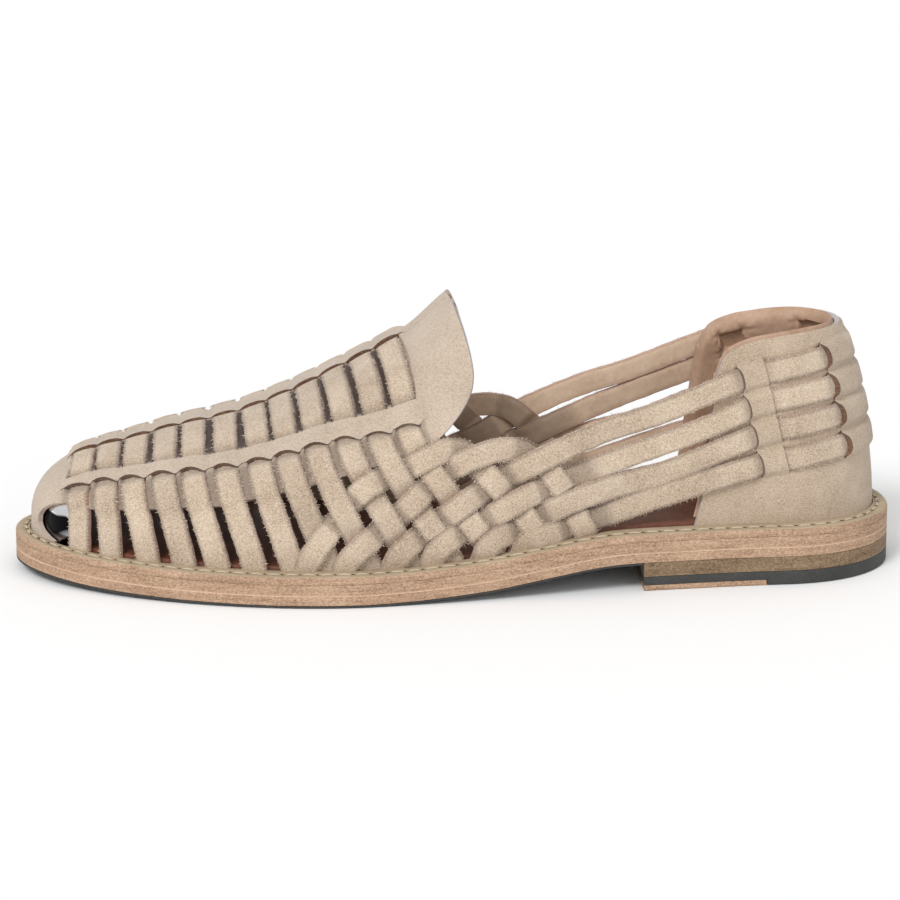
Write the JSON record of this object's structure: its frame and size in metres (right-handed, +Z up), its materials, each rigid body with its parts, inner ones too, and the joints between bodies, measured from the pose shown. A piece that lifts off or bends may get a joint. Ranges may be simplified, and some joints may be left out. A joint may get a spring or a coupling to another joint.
{
  "type": "huarache sandal",
  "caption": "Woven suede huarache for a left foot, with a slit vamp, rear straps, a layered leather sole, a low stacked heel and a metal toe plate.",
  "frame": {"origin": "on the ground under the middle of the sole's box", "axes": "+X from toe to heel, -Y to the outer side of the foot, +Z up"},
  "size_m": [0.3, 0.1096, 0.09],
  "materials": {
    "suede": "napped, beige",
    "counter_suede": "napped, beige",
    "lining_leather": "smooth, taupe",
    "welt_leather": "waxed, stitched",
    "midsole_leather": "cut edge, rough",
    "sole_leather": "cut edge, smooth",
    "heel_leather": "pressed layers",
    "insole_leather": "smooth, reddish brown",
    "heel_rubber": "matte black",
    "grip_rubber": "matte black, fine tread",
    "toe_metal": "polished"
  },
  "bodies": {
    "root": {"heel_tip": "sole_leather", "heel_rubber": "heel_rubber", "heel_lift": "heel_leather", "outsole_rubber": "grip_rubber", "outsole": "sole_leather", "midsole": "midsole_leather", "welt": "welt_leather", "insole": "insole_leather", "upper": "suede", "heel_counter": "counter_suede", "heel_lining": "lining_leather", "toe_plate": "toe_metal"}
  },
  "joints": []
}
